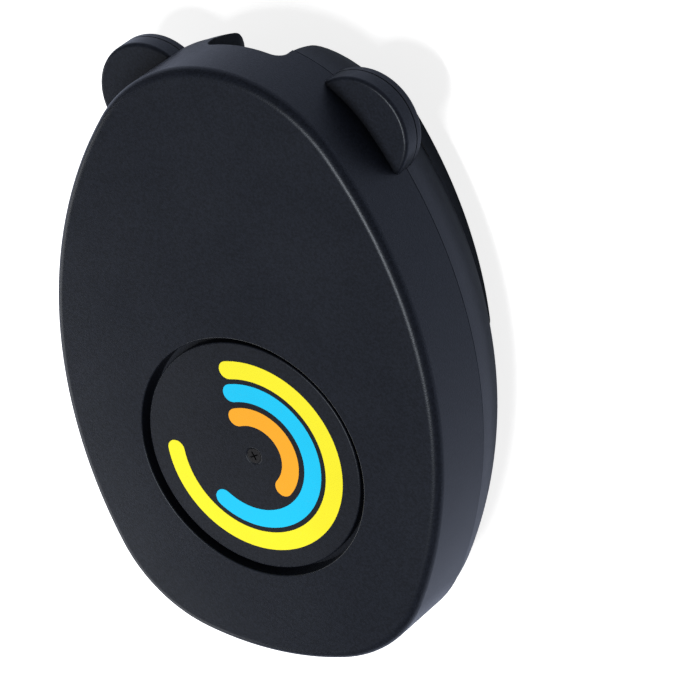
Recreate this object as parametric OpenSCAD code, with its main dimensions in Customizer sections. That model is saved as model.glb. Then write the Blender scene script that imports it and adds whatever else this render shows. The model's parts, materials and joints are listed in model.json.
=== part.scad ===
// Mouse mover: a low egg-shaped case whose slow turntable keeps an optical mouse awake.
// Frame: +Z up, lying on its rubber feet at z = 0; +Y points to the ears and the plug bay.

/* [Case outline] */
// height of the narrow tip above the case centre
tip_y = 63.9; // [55:0.1:75]
// radius of the narrow end
top_r = 33; // [28:0.5:40]
// half of the angle the narrow end turns through
top_turn = 55.1; // [45:0.1:65]
// radius of the long sides
side_r = 96.3; // [80:0.1:120]
// angle each long side turns through
side_turn = 59.8; // [50:0.1:70]
// radius of the two lower corners
corner_r = 29.2; // [22:0.1:36]
// angle each lower corner turns through
corner_turn = 50.7; // [40:0.1:60]

/* [Case section] */
// how far the feet stand out under the case
foot_h = 2.5; // [1:0.1:5]
// depth of the lower shell
tray_h = 13; // [9:0.1:18]
// depth of the upper shell
lid_h = 17; // [13:0.1:22]
// how much the lower shell draws in towards its floor
tray_draw = 4.7; // [1:0.1:8]
// radius of the bowed wall of the lower shell
tray_bow_r = 35; // [20:1:80]
// step between the two shells at the joint line
reveal = 0.2; // [0:0.05:0.6]
// radius along the top edge
rim_r = 2; // [0.5:0.1:4]
// wall thickness
wall = 2.2; // [1.6:0.1:3]
// radius along the floor edge
floor_edge_r = 1; // [0.3:0.1:1.5]

/* [Ears] */
// distance of each ear from the middle line
ear_x = 24; // [18:0.5:30]
// position of the ears along the case
ear_y = 49.2; // [45:0.1:58]
// ear radius
ear_r = 11.4; // [7:0.1:14]
// ear thickness above the joint line
ear_up = 3.9; // [2:0.1:6]
// ear thickness below the joint line
ear_down = 1.9; // [1:0.1:4]
// rounding of the ear edges
ear_edge = 0.8; // [0.3:0.1:0.9]

/* [Turntable] */
// position of the turntable along the case
spindle_y = -19.3; // [-24:0.1:-14]
// radius of the round opening in the deck
well_r = 26; // [20:0.1:32]
// radius of the turning disc
disc_r = 24.7; // [18:0.1:30]
// how far the disc lies below the deck
disc_sink = 0.9; // [0.3:0.1:2]
// thickness of the disc
disc_t = 2.6; // [1.6:0.1:4]
// thickness of the printed colours
print_t = 0.08; // [0.04:0.01:0.2]

/* [Gear train] */
// tooth size (module)
gear_m = 0.6; // [0.4:0.1:0.8]
// teeth of the motor pinion and of the small idler wheel
pinion_teeth = 12; // [10:1:16]
// teeth of the large idler wheel
idler_teeth = 40; // [30:1:50]
// teeth of the turntable wheel
table_teeth = 54; // [40:1:60]
// play between teeth on the pitch circle
backlash = 0.12; // [0.05:0.01:0.2]
// running clearance of shafts in their bores
run_gap = 0.05; // [0.02:0.01:0.1]

/* [Plug bay] */
// half width of the bay
bay_w = 9; // [7:0.1:12]
// height of the bay's ceiling above the joint line
bay_up = 4.5; // [2:0.1:7]
// position of the bay's back wall
bay_back = 52.5; // [50:0.1:60]
// rounding of the bay's upper corners
bay_corner = 2.5; // [0.5:0.1:4]
// rounding of the bay's sides where they meet the floor
bay_foot_r = 5.5; // [0.5:0.1:8]

/* [Hidden] */
$fn = 72;
floor_z = foot_h;
seam_z = foot_h + tray_h;
deck_z = seam_z + lid_h;
roof_z = deck_z - 2.4;
inner_z = floor_z + wall;
eps = 0.01;

// the outline is a chain of arcs that share their radial lines
a_side = 90 - top_turn;
a_corner = a_side - side_turn;
a_foot = a_corner - corner_turn;
function ray(c, r, a) = [c[0] + r * cos(a), c[1] + r * sin(a)];
c_top = [0, tip_y - top_r];
c_side = ray(c_top, top_r - side_r, a_side);
c_corner = ray(c_side, side_r - corner_r, a_corner);
bottom_r = corner_r + c_corner[0] / cos(a_foot);
c_bottom = [0, ray(c_corner, corner_r - bottom_r, a_foot)[1]];

// turntable, idler and motor axes stand in one line
spindle = [0, spindle_y];
idler = [0, spindle_y + gear_m * (table_teeth + pinion_teeth) / 2];
motor = [0, idler[1] + gear_m * (idler_teeth + pinion_teeth) / 2];

disc_z = deck_z - disc_sink;
disc_low = disc_z - disc_t;
plate_z = seam_z + 1;
plate_t = 1.5;
plate_top = plate_z + plate_t;
table_gear_z = seam_z + 5.5;
big_idler_z = seam_z + 3.1;
port_z = deck_z - 20.5;
board_z = port_z - 1.3 - 1.2;
board_t = 1.2;

case_screw_at = [[22, 32.5], [-22, 32.5], [26, -42], [-26, -42]];
plate_screw_at = [[15, 28], [-15, 28], [15, -36], [-15, -36]];
motor_screw_at = [[13, motor[1]], [-13, motor[1]]];
board_screw_at = [[13, 34], [-13, 34]];

case_black = [0.10, 0.105, 0.12];
steel = [0.72, 0.73, 0.75];
nylon = [0.90, 0.89, 0.84];

module put(p, z = 0) translate([p[0], p[1], z]) children();
module tube(r, h) cylinder(r = r, h = h);

// ---- outline tools ----
// the outline as a list of points, drawn in by some inset
function arc_points(c, r, from, to, n) = [for (i = [0:n - 1]) ray(c, r, from + (to - from) * i / n)];
function right_half(inset, n) = concat(
    arc_points(c_top, top_r - inset, 90, a_side, 3 * n),
    arc_points(c_side, side_r - inset, a_side, a_corner, 4 * n),
    arc_points(c_corner, corner_r - inset, a_corner, a_foot, 3 * n),
    arc_points(c_bottom, bottom_r - inset, a_foot, -90, n));
function outline(inset, n) = let (h = right_half(inset, n)) concat(
    h,
    [ray(c_bottom, bottom_r - inset, -90)],
    [for (i = [len(h) - 1:-1:1]) [-h[i][0], h[i][1]]]);

// a curved track of half width w with round ends, also used for the printed arcs
function track(c, r, w, from, to, n) = concat(
    arc_points(c, r + w, from, to, n),
    arc_points(ray(c, r, to), w, to, to + 180, 12),
    arc_points(c, r - w, to, from, n),
    arc_points(ray(c, r, from), w, from + 180, from + 360, 12));

// one closed skin through a list of [inset, height] rings, capped at both ends
module skin(rings, n) {
    m = len(outline(0, n));
    points = [for (g = rings) for (p = outline(g[0], n)) [p[0], p[1], g[1]]];
    sides = [for (k = [0:len(rings) - 2]) for (i = [0:m - 1])
        [k * m + i, k * m + (i + 1) % m, (k + 1) * m + (i + 1) % m, (k + 1) * m + i]];
    last = (len(rings) - 1) * m;
    caps = [[for (i = [m - 1:-1:0]) i], [for (i = [0:m - 1]) last + i]];
    polyhedron(points, concat(sides, caps));
}

// ---- small shared pieces ----
module ring(r_out, r_in, h) difference() {
    tube(r_out, h);
    translate([0, 0, -1]) tube(r_in, h + 2);
}

// pan-head or countersunk screw, head underside at z = 0 and pointing down, cross recess on top
module screw(r, len, head_r, head_h, sunk = false) difference() {
    union() {
        translate([0, 0, -len]) tube(r, len + eps);
        if (sunk) cylinder(r1 = r, r2 = head_r, h = head_h);
        else tube(head_r, head_h);
    }
    for (a = [0, 90]) rotate([0, 0, a]) {
        translate([-head_r * 0.6, -0.22, head_h - 0.7]) cube([head_r * 1.2, 0.44, 2]);
    }
}

function inv(a) = tan(a) * 180 / PI - a;
pressure = 25;

module gear(teeth, h, phase) {
    rp = gear_m * teeth / 2;
    rb = rp * cos(pressure);
    low = rp - 1.15 * gear_m;
    high = rp + 0.8 * gear_m;
    half = 90 / teeth - backlash / rp * 90 / PI;
    base = half + inv(pressure);
    tip = base - inv(acos(rb / high));
    root = base - (low > rb ? inv(acos(rb / low)) : 0);
    flank = [[low, -root], [rp, -half], [high, -tip], [high, tip], [rp, half], [low, root]];
    linear_extrude(h) polygon([
        for (i = [0:teeth - 1]) for (p = flank) ray([0, 0], p[0], phase + i * 360 / teeth + p[1])]);
}

// ---- upper shell ----
lid_rings = concat(
    [[wall, roof_z], [wall, seam_z], [0, seam_z]],
    [for (a = [0:15:90]) [rim_r - rim_r * cos(a), deck_z - rim_r + rim_r * sin(a)]]);

// a disc with one rounded edge, kept clear of the inside of the case
module ear(far, near) difference() {
    s = sign(far - near);
    mid = far - s * ear_edge;
    round_edge = [for (a = [0:15:90]) [ear_r - ear_edge + ear_edge * cos(a), mid + s * ear_edge * sin(a)]];
    rotate_extrude() polygon(concat([[0, near], [ear_r, near]], round_edge, [[0, far]]));
    translate(-[ear_x, ear_y, 0]) linear_extrude(deck_z) polygon(outline(wall / 2, 4));
}
module ears(far, near) for (m = [0, 1]) mirror([m, 0, 0]) put([ear_x, ear_y]) ear(far, near);

// the bay runs straight in from the tip and down through the floor
bay_half = concat(
    arc_points([bay_w - bay_corner, seam_z + bay_up - bay_corner], bay_corner, 90, 0, 8),
    [[bay_w, seam_z + bay_up - bay_corner]],
    arc_points([bay_w + bay_foot_r, floor_z + bay_foot_r], bay_foot_r, 180, 270, 8),
    [[bay_w + bay_foot_r, floor_z], [bay_w + bay_foot_r, -1]]);
bay_outline = concat(bay_half, [for (i = [len(bay_half) - 1:-1:0]) [-bay_half[i][0], bay_half[i][1]]]);
module bay_cut() translate([0, tip_y + 5, 0]) rotate([90, 0, 0])
    linear_extrude(tip_y + 5 - bay_back) polygon(bay_outline);
module bay_block(low, high) translate([-bay_w - bay_foot_r - wall, bay_back - wall, low])
    cube([2 * (bay_w + bay_foot_r + wall), tip_y, high - low]);

module top_shell() color(case_black) difference() {
    union() {
        skin(lid_rings, 4);
        ears(seam_z + ear_up, seam_z);
        intersection() {
            bay_block(seam_z, seam_z + bay_up + wall);
            put(c_top) tube(top_r - 1, deck_z);
        }
        for (p = case_screw_at) put(p, seam_z) tube(3.3, roof_z - seam_z + 1);
        put(spindle, disc_low - 3) tube(well_r + 1.5, roof_z - disc_low + 4);
    }
    bay_cut();
    put(spindle, disc_low - 1.5) tube(well_r, 20);
    put(spindle, 0) tube(8.5, deck_z);
    for (p = case_screw_at) put(p, 0) tube(1.25, seam_z + 10);
}

// ---- lower shell ----
// its wall bows from the joint line to the floor and is rounded off at the floor edge
tray_mid = [-(reveal + tray_draw) / 2, (seam_z + floor_z) / 2];
tray_half = [tray_draw - reveal, tray_h] / 2;
tray_rise = sqrt(tray_bow_r * tray_bow_r - tray_half * tray_half) / norm(tray_half);
tray_c = [tray_mid[0] - tray_half[1] * tray_rise, tray_mid[1] + tray_half[0] * tray_rise];
function bow(z, r) = -tray_c[0] - sqrt(r * r - pow(z - tray_c[1], 2));
edge_y = floor_z + floor_edge_r;
edge_x = -bow(edge_y, tray_bow_r - floor_edge_r);
edge_a = atan2(edge_y - tray_c[1], edge_x - tray_c[0]);
edge_rings = [for (a = [-90, (edge_a - 90) / 2, edge_a])
    [-edge_x - floor_edge_r * cos(a), edge_y + floor_edge_r * sin(a)]];
bow_z = [for (i = [1:3]) floor_z + tray_h * i / 4];
lip_out = wall + 0.1;
lip_in = wall + 1.1;
tray_rings = concat(
    edge_rings,
    [for (z = bow_z) [bow(z, tray_bow_r), z]],
    [[reveal, seam_z], [lip_out, seam_z], [lip_out, seam_z + 1.4], [lip_in, seam_z + 1.4], [lip_in, seam_z - 1]],
    [for (i = [2:-1:0]) [bow(bow_z[i], tray_bow_r - wall), bow_z[i]]],
    [[bow(inner_z, tray_bow_r - wall), inner_z]]);

module feet(c, r, from, to, grow) for (m = [0, 1]) mirror([m, 0, 0])
    linear_extrude(foot_h + 0.7) polygon(track(c, r, 2 + grow, from, to, 12));
module side_feet_form(grow) feet(c_side + [0, 5], side_r - 8.43, 2, 31, grow);
module front_feet_form(grow) feet(c_corner, corner_r - 9.5, -76, -46, grow);

module bottom_shell() color(case_black) difference() {
    union() {
        difference() {
            skin(tray_rings, 4);
            translate([0, 0, seam_z]) bay_block(0, 9);
        }
        ears(seam_z - ear_down, seam_z);
        intersection() {
            bay_block(floor_z, seam_z);
            put(c_top, floor_z) cylinder(r1 = top_r - tray_draw - 1.2, r2 = top_r - reveal - 1.2, h = tray_h);
        }
        for (p = case_screw_at) put(p, floor_z) tube(4.4, tray_h);
        for (p = plate_screw_at) put(p, floor_z) tube(3, plate_z - floor_z);
        for (p = board_screw_at) put(p, floor_z) tube(2.6, board_z - floor_z);
        put(spindle, floor_z) tube(5, wall + 5);
    }
    bay_cut();
    translate([-4.1, bay_back - wall - 1, port_z - 1.65]) cube([8.2, wall + 3, 3.3]);
    for (p = case_screw_at) {
        put(p, -1) tube(1.5, deck_z);
        put(p, 0) tube(3, floor_z + 5);
    }
    for (p = plate_screw_at) put(p, plate_z - 8) tube(1, 20);
    for (p = board_screw_at) put(p, board_z - 3.5) tube(0.8, 20);
    put(spindle, inner_z + 1) tube(2 + run_gap, 20);
    side_feet_form(0.1);
    front_feet_form(0.1);
}

// ---- turntable ----
module turntable_disc() color(case_black) put(spindle) difference() {
    union() {
        translate([0, 0, disc_low]) tube(disc_r, disc_t - 0.3);
        translate([0, 0, disc_z - 0.3]) cylinder(r1 = disc_r, r2 = disc_r - 0.3, h = 0.3);
        translate([0, 0, seam_z + 9.5]) tube(6, disc_low - seam_z - 9);
    }
    tube(2, disc_low + 0.5);
    tube(0.95, deck_z);
    translate([0, 0, disc_z - 1.0]) cylinder(r1 = 0.95, r2 = 1.8, h = 1.01);
}
module print_arc(r, from, to) put(spindle, disc_z)
    linear_extrude(print_t) polygon(track([0, 0], r, 1.95, from, to, 72));
module print_outer() color([0.99, 0.94, 0.14]) print_arc(18.75, -174, 102);
module print_middle() color([0.0, 0.78, 0.98]) print_arc(13.8, -127, 105);
module print_inner() color([0.97, 0.68, 0.12]) print_arc(8.6, -42, 110);
module disc_screw() color([0.13, 0.13, 0.14]) put(spindle, disc_z - 1.0) screw(0.95, 6, 1.7, 0.9, true);
module table_gear() color(nylon) put(spindle) difference() {
    union() {
        translate([0, 0, table_gear_z]) gear(table_teeth, 2.8, 90);
        translate([0, 0, seam_z + 3.8]) tube(4.2, 5.7);
    }
    tube(2, deck_z);
    for (a = [30:60:330]) rotate([0, 0, a]) translate([10, 0, 0]) tube(3, deck_z);
}
module spindle() color(steel) put(spindle) difference() {
    translate([0, 0, inner_z + 1.2]) tube(2, disc_low + 0.4 - inner_z - 1.2);
    translate([0, 0, seam_z - 1.4]) ring(4, 1.6, 0.6);
    translate([0, 0, disc_z - 8]) tube(0.95, 10);
}
module spindle_clip() color(steel) put(spindle, seam_z - 1.35) difference() {
    ring(3.6, 1.6, 0.5);
    translate([-1.3, 0, -1]) cube([2.6, 5, 3]);
}
module spindle_bush() color([0.70, 0.56, 0.33]) put(spindle) difference() {
    union() {
        translate([0, 0, seam_z - 0.5]) tube(3.5, plate_top - seam_z + 0.5);
        translate([0, 0, plate_top]) tube(4.6, 0.7);
    }
    tube(2 + run_gap, deck_z);
}
module thrust_washer() color(nylon) put(spindle, plate_top + 0.7) ring(4.4, 2.1, 0.5);

// ---- gear train on its plate ----
module chassis_plate() color([0.62, 0.63, 0.65]) difference() {
    translate([0, 0, plate_z]) linear_extrude(plate_t) {
        translate([-19, -36]) square([38, 64]);
        translate([-15, -40]) square([30, 72]);
        for (p = plate_screw_at) translate(p) circle(r = 4);
    }
    put(spindle) tube(3.5, deck_z);
    put(idler) tube(1, deck_z);
    put(motor) tube(5, deck_z);
    for (p = plate_screw_at) put(p) tube(1.2, deck_z);
    for (p = motor_screw_at) put(p) tube(1, deck_z);
    for (s = [-1, 1]) translate([s * 14.5, -8, 0]) tube(3, deck_z);
}
module idler_gear() color(nylon) put(idler) difference() {
    union() {
        translate([0, 0, big_idler_z]) gear(idler_teeth, 1.8, 90);
        translate([0, 0, big_idler_z + 1.7]) gear(pinion_teeth, 3.9, -90 + 180 / pinion_teeth);
        translate([0, 0, plate_top + 0.2]) tube(2.4, 3);
    }
    tube(1 + run_gap, deck_z);
    for (a = [0:60:300]) rotate([0, 0, a]) translate([7.8, 0, 0]) tube(2.2, deck_z);
}
module idler_pin() color(steel) put(idler, plate_z) tube(1, 9.3);
module idler_clip() color(steel) put(idler, seam_z + 9.1) ring(2.4, 1, 0.5);

// ---- motor ----
can_z = inner_z + 0.8;
module motor_can() color([0.66, 0.67, 0.69]) put(motor) difference() {
    translate([0, 0, can_z]) tube(10, plate_z - 0.8 - can_z);
    translate([0, 0, can_z + 0.8]) tube(9.3, 30);
    translate([0, 0, can_z + 0.3]) tube(1 + run_gap, 5);
    translate([-3.4, 5, can_z + 4.8]) cube([6.8, 10, 2.4]);
}
module motor_flange() color([0.66, 0.67, 0.69]) difference() {
    translate([0, 0, plate_z - 0.8]) linear_extrude(0.8) {
        translate(motor) circle(r = 10);
        translate(motor - [13, 3]) square([26, 6]);
        for (p = motor_screw_at) translate(p) circle(r = 3);
    }
    put(motor) tube(1 + run_gap, deck_z);
    for (p = motor_screw_at) put(p) tube(1, deck_z);
}
module motor_coils() color([0.72, 0.42, 0.22]) put(motor) for (z = [0, 4.3])
    translate([0, 0, can_z + 1.0 + z]) ring(9.2, 6, 3.7);
module rotor_magnet() color([0.22, 0.22, 0.24]) put(motor, can_z + 1.4) ring(5.4, 1, 7.4);
module motor_shaft() color(steel) put(motor, can_z + 0.4) tube(1, big_idler_z + 2 - can_z - 0.4);
module motor_pinion() color([0.78, 0.62, 0.30]) put(motor, big_idler_z - 0.2) difference() {
    gear(pinion_teeth, 2.2, -90 + 180 / pinion_teeth);
    translate([0, 0, -1]) tube(1, 5);
}
module motor_screws() color(steel) for (p = motor_screw_at) put(p, plate_top) screw(1, 2.6, 1.9, 1.2);
module chassis_screws() color(steel) for (p = plate_screw_at) put(p, plate_top) screw(1, 8, 2, 1.3);

// ---- electronics ----
module main_board() color([0.10, 0.30, 0.20]) difference() {
    translate([-16, 31.5, board_z]) cube([32, 18.2, board_t]);
    for (p = board_screw_at) put(p) tube(1, deck_z);
}
board_top = board_z + board_t;
module board_screws() color(steel) for (p = board_screw_at) put(p, board_top) screw(0.8, 4.5, 1.6, 1);
module usb_shell() color(steel) translate([0, bay_back - 6.1, port_z]) difference() {
    translate([-3.8, 0, -1.3]) cube([7.6, 5.6, 2.6]);
    translate([-3.5, 0.3, -1]) cube([7, 9, 2]);
}
module usb_tongue() color([0.08, 0.08, 0.09]) translate([0, bay_back - 5.8, port_z]) {
    translate([-3.5, 0, -1]) cube([7, 1.2, 2]);
    translate([-2.6, 1, 0.1]) cube([5.2, 3.4, 0.6]);
}
module controller_chip() color([0.07, 0.07, 0.08]) translate([-8, 40, board_top]) {
    translate([0, 0, 0.2]) cube([5, 4, 1.4]);
    for (i = [0:3], s = [0, 1]) translate([0.4 + i * 1.27, s ? 4 : -0.9, 0]) cube([0.4, 0.9, 0.5]);
}
module capacitor() color([0.10, 0.12, 0.30]) translate([10.5, 43, board_top]) {
    tube(2.5, 5.6);
    translate([0, 0, 5.6]) tube(2.2, 0.3);
}
module board_parts() color([0.80, 0.72, 0.55]) for (i = [0:5]) {
    translate([-14 + i * 1.8, 47.5, board_top]) cube([1.2, 0.7, 0.5]);
    translate([-2 + i * 1.8, 40.5, board_top]) cube([1.2, 0.7, 0.5]);
}
lead_x = [for (i = [0:3]) -2.25 + i * 1.5];
module lead_connector() color([0.93, 0.92, 0.88]) difference() {
    translate([-3.8, 33.5, board_top]) cube([7.6, 4, 4.2]);
    for (x = lead_x) translate([x, 35, can_z + 6]) rotate([90, 0, 0]) tube(0.5, 3);
}
module motor_lead() color([0.75, 0.12, 0.10]) for (x = lead_x)
    translate([x, 35, can_z + 6]) rotate([90, 0, 0]) tube(0.5, 35 - motor[1] - 9.4);

// ---- fasteners and feet ----
module case_screws() color(steel) for (p = case_screw_at)
    put(p, floor_z + 5) rotate([180, 0, 0]) screw(1.25, seam_z + 9 - floor_z - 5, 2.5, 1.8);
module side_feet() color([0.05, 0.05, 0.055]) side_feet_form(0);
module front_feet() color([0.05, 0.05, 0.055]) front_feet_form(0);

top_shell();
bottom_shell();
turntable_disc();
print_outer();
print_middle();
print_inner();
disc_screw();
table_gear();
spindle();
spindle_clip();
spindle_bush();
thrust_washer();
chassis_plate();
idler_gear();
idler_pin();
idler_clip();
motor_can();
motor_flange();
motor_coils();
rotor_magnet();
motor_shaft();
motor_pinion();
motor_screws();
chassis_screws();
main_board();
board_screws();
usb_shell();
usb_tongue();
controller_chip();
capacitor();
board_parts();
lead_connector();
motor_lead();
case_screws();
side_feet();
front_feet();
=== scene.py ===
# %% [markdown]
# # A mouse mover, dressed
# The part arrives as solids: two case shells, a turning disc, a gear train, a motor and a board.
# This lesson keeps every solid where it is and gives the pieces that the eye meets a finer skin:
# smooth walls, broken edges, moulded grain, printed ink and soft rubber.
# Everything is in metres, standing on its feet at z = 0, with the ears towards +Y.

import json
import math

import bpy
from mathutils import Matrix, Vector

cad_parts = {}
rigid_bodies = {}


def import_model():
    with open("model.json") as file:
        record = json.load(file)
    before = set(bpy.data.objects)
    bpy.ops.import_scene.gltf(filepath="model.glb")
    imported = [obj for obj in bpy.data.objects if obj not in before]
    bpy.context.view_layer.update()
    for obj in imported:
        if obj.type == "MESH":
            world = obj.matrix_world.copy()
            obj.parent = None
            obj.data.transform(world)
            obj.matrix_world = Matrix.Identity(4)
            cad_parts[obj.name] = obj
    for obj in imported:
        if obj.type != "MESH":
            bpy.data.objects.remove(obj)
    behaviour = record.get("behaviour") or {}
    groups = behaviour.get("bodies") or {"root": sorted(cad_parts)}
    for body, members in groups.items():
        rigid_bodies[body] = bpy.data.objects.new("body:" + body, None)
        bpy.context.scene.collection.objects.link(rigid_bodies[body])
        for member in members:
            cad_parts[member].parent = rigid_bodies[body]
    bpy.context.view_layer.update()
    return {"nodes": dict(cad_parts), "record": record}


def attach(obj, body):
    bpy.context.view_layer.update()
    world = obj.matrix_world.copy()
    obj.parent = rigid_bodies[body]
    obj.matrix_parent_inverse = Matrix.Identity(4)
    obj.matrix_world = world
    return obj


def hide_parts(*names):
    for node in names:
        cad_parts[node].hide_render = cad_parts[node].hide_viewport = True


for stray in list(bpy.data.objects):
    bpy.data.objects.remove(stray)
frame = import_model()

nodes = frame["nodes"]
MM = 0.001
PER_MM = 1000.0  # turns a count for each millimetre into one for each metre

# %% [markdown]
# ## The outline
# Seen from above the case is an egg: one tight arc round the tip, two long flat sides, two lower
# corners and a nearly flat bottom. It could be drawn with Bezier handles by eye, but moulded cases
# are drawn with arcs that meet without a kink, so each arc's centre is found from the one before it.

# %% The chain of arcs
TIP, SIDE, CORNER = (33.0, 55.1), (96.3, 59.8), (29.2, 50.7)  # radius and turn of each arc
TIP_Y = 63.9


def ray(centre, radius, degrees):
    a = math.radians(degrees)
    return (centre[0] + radius * math.cos(a), centre[1] + radius * math.sin(a))


a_side = 90 - TIP[1]
a_corner = a_side - SIDE[1]
a_foot = a_corner - CORNER[1]
c_tip = (0.0, TIP_Y - TIP[0])
c_side = ray(c_tip, TIP[0] - SIDE[0], a_side)
c_corner = ray(c_side, SIDE[0] - CORNER[0], a_corner)
foot_radius = CORNER[0] + c_corner[0] / math.cos(math.radians(a_foot))
c_foot = (0.0, ray(c_corner, CORNER[0] - foot_radius, a_foot)[1])
ARCS = [
    (c_tip, TIP[0], 90, a_side, 40),
    (c_side, SIDE[0], a_side, a_corner, 44),
    (c_corner, CORNER[0], a_corner, a_foot, 32),
    (c_foot, foot_radius, a_foot, -90, 12),
]


def egg(inset=0.0):
    """Points round the case, clockwise from the tip, drawn in by inset (mm)."""
    half = [
        ray(c, r - inset, start + (end - start) * i / n)
        for c, r, start, end, n in ARCS
        for i in range(n)
    ]
    foot = ray(c_foot, foot_radius - inset, -90)
    return half + [foot] + [(-x, y) for x, y in reversed(half[1:])]


around = egg()
print("outline:", len(around), "points, half width", round(max(x for x, _ in around), 2), "mm")

# %% [markdown]
# ## Heights
# The case is a stack: rubber feet, a lower shell that bows inwards, a joint line, and an upper shell
# with an upright wall and a rounded rim. Naming the levels once keeps every later piece in step.

# %% Levels in mm
FEET, JOINT, DECK = 2.5, 15.5, 32.5  # underside of the case, joint line and deck
WALL, FLOOR, ROOF = 2.2, 4.7, 30.1  # wall thickness, top of the floor plate, underside of the deck
RIM = 2.0  # radius from the wall to the deck
SPINDLE_Y = -19.3
WELL_R, DISC_R, DISC_TOP = 26.0, 24.7, 31.6
EAR = (24.0, 49.2, 11.4)  # x, y and radius of the right ear
EAR_UP, EAR_DOWN = 3.9, 1.9  # reach of the ears above and below the joint
BAY_W, BAY_TOP, BAY_BACK = 9.0, 20.0, 52.5  # half width, ceiling and back wall of the plug bay
BAY_CORNER, BAY_FOOT = 2.5, 5.5  # radii of its ceiling corners and of its flared foot
BELOW, BEYOND = -1.0, TIP_Y + 5  # how far cutters go under the desk and past the ear end
GROOVE = 0.25  # height of the groove at the joint
CASE_SCREWS = [(22, 32.5), (-22, 32.5), (26, -42), (-26, -42)]
PLATE_SCREWS = [(15, 28), (-15, 28), (15, -36), (-15, -36)]
BOARD_SCREWS = [(13, 34), (-13, 34)]
BOW_R = 35.0  # radius of the arc that the lower wall follows
bow_top, bow_low = (0.2, JOINT), (4.7, FEET)
half_x, half_z = (bow_low[0] - bow_top[0]) / 2, (bow_top[1] - bow_low[1]) / 2
far = math.sqrt(BOW_R**2 - half_x**2 - half_z**2) / math.hypot(half_x, half_z)
BOW_C = (bow_top[0] + half_x + half_z * far, bow_low[1] + half_z + half_x * far)


def bow(z, skin=0.0):
    """Inset of the lower case's wall at height z; skin moves the arc into the wall."""
    return BOW_C[0] - math.sqrt((BOW_R - skin) ** 2 - (z - BOW_C[1]) ** 2)


print("lower shell inset at mid height:", round(bow((JOINT + FEET) / 2), 2), "mm")

# %% [markdown]
# ## Small tools
# Three helpers turn lists of points into objects: a poly curve, a skin through rings and a turned body.
# Each mesh is made at the origin with its place in its vertices, because the export expects that.


# %% Points into objects
def curve_object(name, points, cyclic):
    data = bpy.data.curves.new(name, "CURVE")
    data.dimensions = "3D"
    line = data.splines.new("POLY")
    line.points.add(len(points) - 1)
    for p, (x, y) in zip(line.points, points):
        p.co = (x * MM, y * MM, 0, 1)
    line.use_cyclic_u = cyclic
    return link(bpy.data.objects.new(name, data))


def link(obj):
    bpy.context.scene.collection.objects.link(obj)
    return obj


def mesh_object(name, verts, faces):
    data = bpy.data.meshes.new(name)
    data.from_pydata([(x * MM, y * MM, z * MM) for x, y, z in verts], [], faces)
    data.validate()
    return link(bpy.data.objects.new(name, data))


def rings_object(name, rings):
    """A closed skin through rings of equal length, wound so that its faces point outwards."""
    m = len(rings[0])
    spots = [[Vector(p) for p in ring] for ring in rings]
    start = sum(spots[0], Vector()) / m
    along = sum(spots[-1], Vector()) / m - start
    pairs = zip(spots[0], spots[0][1:] + spots[0][:1])
    turn = sum(((a - start).cross(b - start) for a, b in pairs), Vector())
    if turn.dot(along) < 0:
        rings = [list(reversed(ring)) for ring in rings]
    verts = [p for ring in rings for p in ring]
    faces = [
        (k * m + i, k * m + (i + 1) % m, (k + 1) * m + (i + 1) % m, (k + 1) * m + i)
        for k in range(len(rings) - 1)
        for i in range(m)
    ]
    faces += [tuple(range(m - 1, -1, -1)), tuple((len(rings) - 1) * m + i for i in range(m))]
    return mesh_object(name, verts, faces)


def turned(name, centre, profile, steps=96):
    """A body turned about an upright axis from (radius, height) pairs that run from the low end up."""
    rings = [
        [
            (centre[0] + r * math.cos(t), centre[1] + r * math.sin(t), z)
            for t in (2 * math.pi * i / steps for i in range(steps))
        ]
        for r, z in profile
    ]
    return rings_object(name, rings)


# %% [markdown]
# ## Case shells by rule
# A case wall is one section carried round one outline. It could be pushed and pulled by hand, but a
# rule is exact and easy to change, so a Geometry Nodes tree does it: it sweeps the section round the
# outline, fills the two plates, adds the ears and cuts the openings. On a clockwise outline whose
# normals lie flat, Curve to Mesh lays the section's x axis inwards and its y axis downwards, so an
# inset is written as x and a height as minus y.


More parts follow.
